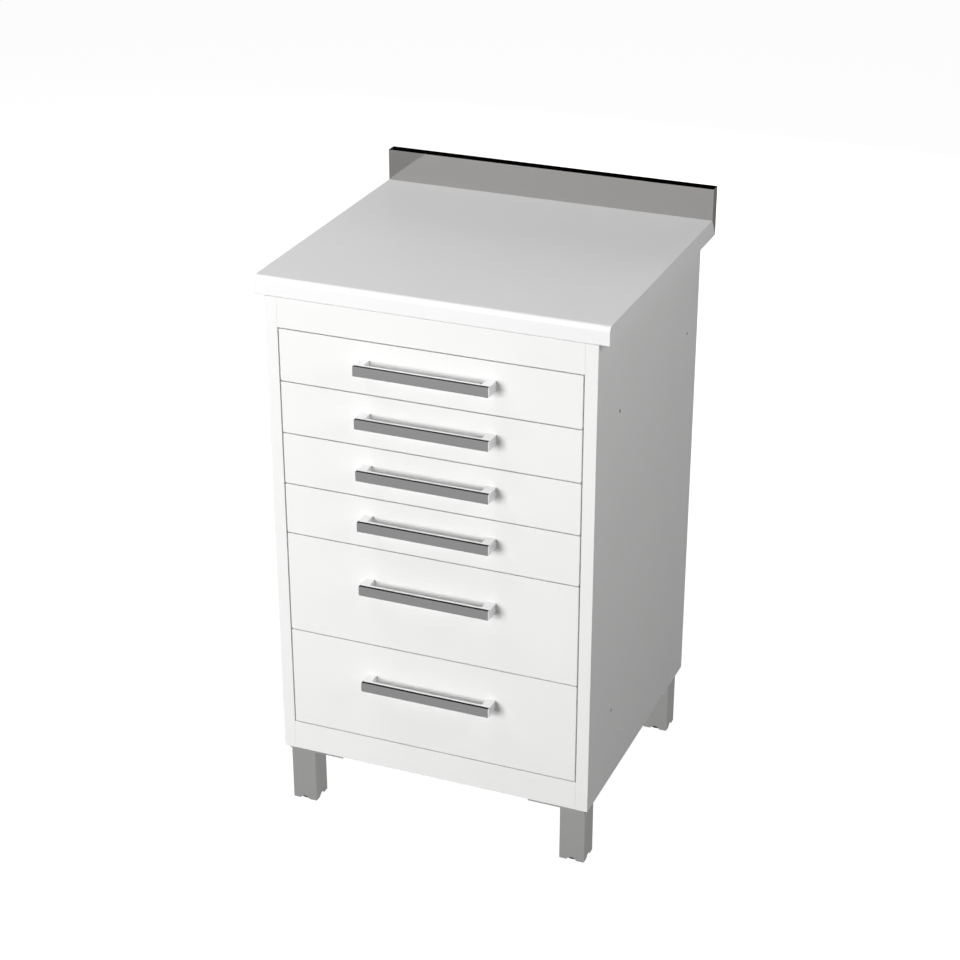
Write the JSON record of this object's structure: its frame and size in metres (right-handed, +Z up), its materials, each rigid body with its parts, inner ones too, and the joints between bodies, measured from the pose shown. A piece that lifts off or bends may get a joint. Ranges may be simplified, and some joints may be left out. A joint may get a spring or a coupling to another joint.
{
  "type": "drawer cabinet",
  "caption": "White dental drawer cabinet on square metal legs, with shallow drawers above deep ones, bow handles and a worktop with a metal-faced upstand.",
  "frame": {"origin": "on the floor, under the middle of the whole cabinet's box, handles and worktop included", "axes": "+X to the right as seen from the front, +Y to the back, towards the wall, +Z up"},
  "size_m": [0.53, 0.5124, 0.922],
  "materials": {
    "white_faced_board": "white melamine-faced board with satin edging",
    "white_hardboard": "white faced hardboard",
    "white_laminate_worktop": "postformed white laminate, satin",
    "raw_board": "raw chipboard, covered",
    "satin_steel": "fine satin grind",
    "white_moulded_plastic": "white moulded plastic",
    "polished_strip": "polished aluminium strip",
    "white_powder_coat": "white powder coat, fine texture",
    "zinc_plated_steel": "zinc plated",
    "zinc_plated_screws": "zinc plated",
    "black_foot_plastic": "black moulded plastic"
  },
  "bodies": {
    "cabinet": {"side_panel_left": "white_faced_board", "side_panel_right": "white_faced_board", "base_panel": "white_faced_board", "back_panel": "white_hardboard", "top_front_rail": "white_faced_board", "bottom_front_rail": "white_faced_board", "top_rear_rail": "white_faced_board", "worktop": "white_laminate_worktop", "upstand_board": "raw_board", "upstand_cover": "satin_steel", "front_legs": "satin_steel", "rear_legs": "satin_steel", "leg_screws": "zinc_plated_screws", "runner_cabinet": "zinc_plated_steel"},
    "drawer_1": {"drawer_front_1": "white_faced_board", "drawer_tray_1": "white_powder_coat", "handle_1": "white_moulded_plastic", "handle_strip_1": "polished_strip", "drawer_screws_1": "zinc_plated_screws", "runner_drawer_1": "zinc_plated_steel"},
    "middle_runners_1": {"runner_middle_1": "zinc_plated_steel"},
    "drawer_2": {"drawer_front_2": "white_faced_board", "drawer_tray_2": "white_powder_coat", "handle_2": "white_moulded_plastic", "handle_strip_2": "polished_strip", "drawer_screws_2": "zinc_plated_screws", "runner_drawer_2": "zinc_plated_steel"},
    "middle_runners_2": {"runner_middle_2": "zinc_plated_steel"},
    "drawer_3": {"drawer_front_3": "white_faced_board", "drawer_tray_3": "white_powder_coat", "handle_3": "white_moulded_plastic", "handle_strip_3": "polished_strip", "drawer_screws_3": "zinc_plated_screws", "runner_drawer_3": "zinc_plated_steel"},
    "middle_runners_3": {"runner_middle_3": "zinc_plated_steel"},
    "drawer_4": {"drawer_front_4": "white_faced_board", "drawer_tray_4": "white_powder_coat", "handle_4": "white_moulded_plastic", "handle_strip_4": "polished_strip", "drawer_screws_4": "zinc_plated_screws", "runner_drawer_4": "zinc_plated_steel"},
    "middle_runners_4": {"runner_middle_4": "zinc_plated_steel"},
    "drawer_5": {"drawer_front_5": "white_faced_board", "drawer_tray_5": "white_powder_coat", "handle_5": "white_moulded_plastic", "handle_strip_5": "polished_strip", "drawer_screws_5": "zinc_plated_screws", "runner_drawer_5": "zinc_plated_steel"},
    "middle_runners_5": {"runner_middle_5": "zinc_plated_steel"},
    "drawer_6": {"drawer_front_6": "white_faced_board", "drawer_tray_6": "white_powder_coat", "handle_6": "white_moulded_plastic", "handle_strip_6": "polished_strip", "drawer_screws_6": "zinc_plated_screws", "runner_drawer_6": "zinc_plated_steel"},
    "middle_runners_6": {"runner_middle_6": "zinc_plated_steel"},
    "foot_front_left": {"foot_front_left": "black_foot_plastic"},
    "foot_front_right": {"foot_front_right": "black_foot_plastic"},
    "foot_rear_left": {"foot_rear_left": "black_foot_plastic"},
    "foot_rear_right": {"foot_rear_right": "black_foot_plastic"}
  },
  "joints": [
    {"name": "drawer_1_slide", "type": "slide", "parent": "cabinet", "child": "drawer_1", "axis": [0, -1, 0], "range_m": [0, 0.4]},
    {"name": "middle_runners_1_slide", "type": "slide", "parent": "cabinet", "child": "middle_runners_1", "axis": [0, -1, 0], "range_m": [0, 0.2]},
    {"name": "drawer_2_slide", "type": "slide", "parent": "cabinet", "child": "drawer_2", "axis": [0, -1, 0], "range_m": [0, 0.4]},
    {"name": "middle_runners_2_slide", "type": "slide", "parent": "cabinet", "child": "middle_runners_2", "axis": [0, -1, 0], "range_m": [0, 0.2]},
    {"name": "drawer_3_slide", "type": "slide", "parent": "cabinet", "child": "drawer_3", "axis": [0, -1, 0], "range_m": [0, 0.4]},
    {"name": "middle_runners_3_slide", "type": "slide", "parent": "cabinet", "child": "middle_runners_3", "axis": [0, -1, 0], "range_m": [0, 0.2]},
    {"name": "drawer_4_slide", "type": "slide", "parent": "cabinet", "child": "drawer_4", "axis": [0, -1, 0], "range_m": [0, 0.4]},
    {"name": "middle_runners_4_slide", "type": "slide", "parent": "cabinet", "child": "middle_runners_4", "axis": [0, -1, 0], "range_m": [0, 0.2]},
    {"name": "drawer_5_slide", "type": "slide", "parent": "cabinet", "child": "drawer_5", "axis": [0, -1, 0], "range_m": [0, 0.4]},
    {"name": "middle_runners_5_slide", "type": "slide", "parent": "cabinet", "child": "middle_runners_5", "axis": [0, -1, 0], "range_m": [0, 0.2]},
    {"name": "drawer_6_slide", "type": "slide", "parent": "cabinet", "child": "drawer_6", "axis": [0, -1, 0], "range_m": [0, 0.4]},
    {"name": "middle_runners_6_slide", "type": "slide", "parent": "cabinet", "child": "middle_runners_6", "axis": [0, -1, 0], "range_m": [0, 0.2]},
    {"name": "foot_front_left_screw", "type": "slide", "parent": "cabinet", "child": "foot_front_left", "axis": [0, 0, -1], "range_m": [0, 0.012]},
    {"name": "foot_front_right_screw", "type": "slide", "parent": "cabinet", "child": "foot_front_right", "axis": [0, 0, -1], "range_m": [0, 0.012]},
    {"name": "foot_rear_left_screw", "type": "slide", "parent": "cabinet", "child": "foot_rear_left", "axis": [0, 0, -1], "range_m": [0, 0.012]},
    {"name": "foot_rear_right_screw", "type": "slide", "parent": "cabinet", "child": "foot_rear_right", "axis": [0, 0, -1], "range_m": [0, 0.012]}
  ],
  "couplings": [
    {"joint": "middle_runners_1_slide", "follows": "drawer_1_slide", "ratio": 0.5},
    {"joint": "middle_runners_2_slide", "follows": "drawer_2_slide", "ratio": 0.5},
    {"joint": "middle_runners_3_slide", "follows": "drawer_3_slide", "ratio": 0.5},
    {"joint": "middle_runners_4_slide", "follows": "drawer_4_slide", "ratio": 0.5},
    {"joint": "middle_runners_5_slide", "follows": "drawer_5_slide", "ratio": 0.5},
    {"joint": "middle_runners_6_slide", "follows": "drawer_6_slide", "ratio": 0.5}
  ]
}
